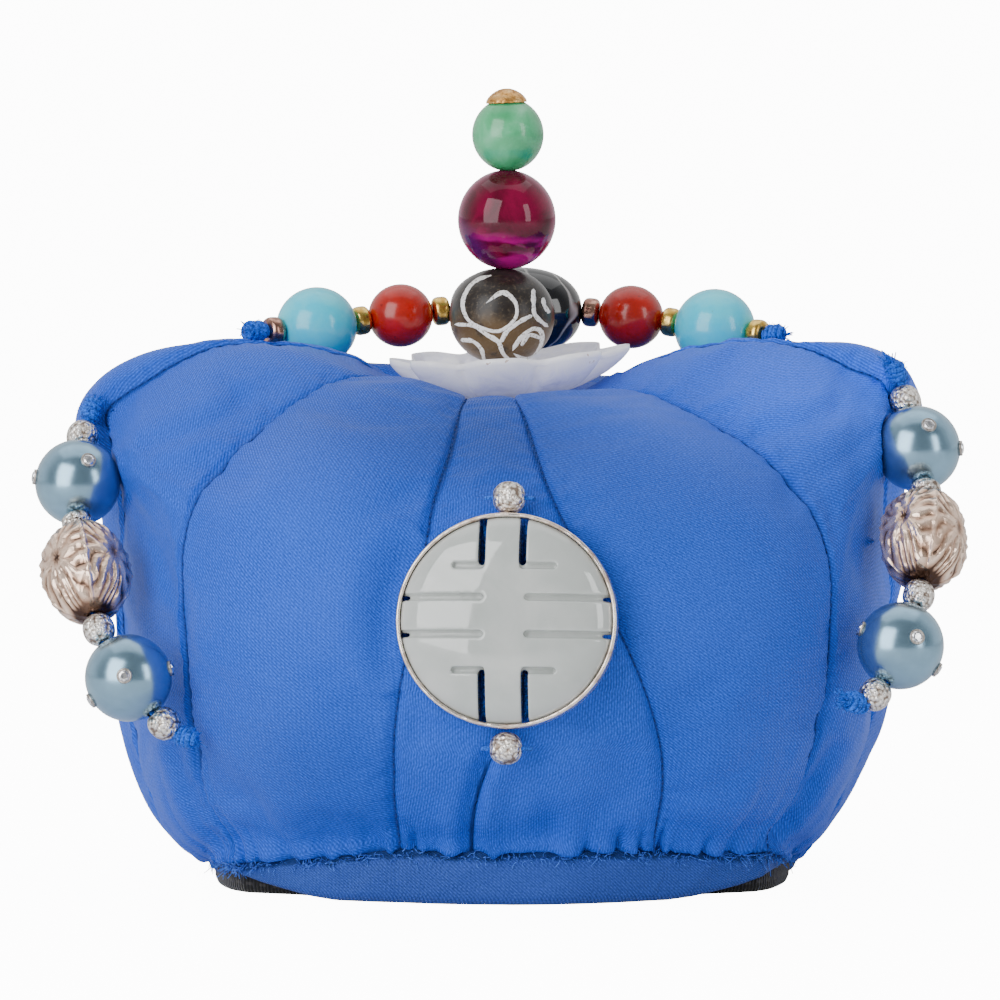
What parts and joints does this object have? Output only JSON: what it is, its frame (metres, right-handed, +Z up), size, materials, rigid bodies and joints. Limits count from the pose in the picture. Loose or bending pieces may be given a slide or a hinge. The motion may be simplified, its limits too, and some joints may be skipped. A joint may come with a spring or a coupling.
{
  "type": "jokduri",
  "caption": "Padded satin bridal coronet, open below for the head, with a pierced jade medallion, a stack of beads on a carved flower, and bead strings across its top and down its sides.",
  "frame": {"origin": "middle of the whole object's box, at the bottom: the level that the mouth band stands on", "axes": "+Z up, -Y towards the front with the medallion, +X to the right as seen from the front"},
  "size_m": [0.1716, 0.1486, 0.1464],
  "materials": {
    "satin": "satin",
    "band": "matte",
    "thread": "matte",
    "bezel": "polished",
    "jade": "satin",
    "flower": "satin",
    "pearl": "gloss",
    "lantern": "satin",
    "silver": "satin",
    "disc": "satin",
    "turquoise": "gloss",
    "coral": "gloss",
    "ring": "polished",
    "agate": "gloss",
    "carved": "satin",
    "magenta": "gloss",
    "green": "satin",
    "cap": "polished"
  },
  "bodies": {
    "root": {"crown": "satin", "hem_band": "satin", "mouth_band": "band", "medallion_bezel": "bezel", "medallion_jade": "jade", "medallion_bead_upper": "silver", "medallion_bead_lower": "silver", "medallion_stitch_upper": "thread", "medallion_stitch_lower": "thread", "stack_flower": "flower", "stack_carved_bead": "carved", "stack_magenta_bead": "magenta", "stack_green_bead": "green", "stack_cap": "cap", "stack_thread": "thread", "left_silver_bead_1": "silver", "left_pearl_1": "pearl", "left_disc": "disc", "left_lantern_bead": "lantern", "left_silver_bead_2": "silver", "left_pearl_2": "pearl", "left_silver_bead_3": "silver", "left_thread": "thread", "right_silver_bead_1": "silver", "right_pearl_1": "pearl", "right_disc": "disc", "right_lantern_bead": "lantern", "right_silver_bead_2": "silver", "right_pearl_2": "pearl", "right_silver_bead_3": "silver", "right_thread": "thread", "top_ring_1": "ring", "top_turquoise_1": "turquoise", "top_ring_2": "ring", "top_coral_1": "coral", "top_ring_3": "ring", "top_agate": "agate", "top_ring_4": "ring", "top_coral_2": "coral", "top_ring_5": "ring", "top_turquoise_2": "turquoise", "top_ring_6": "ring", "top_thread": "thread"}
  },
  "joints": []
}
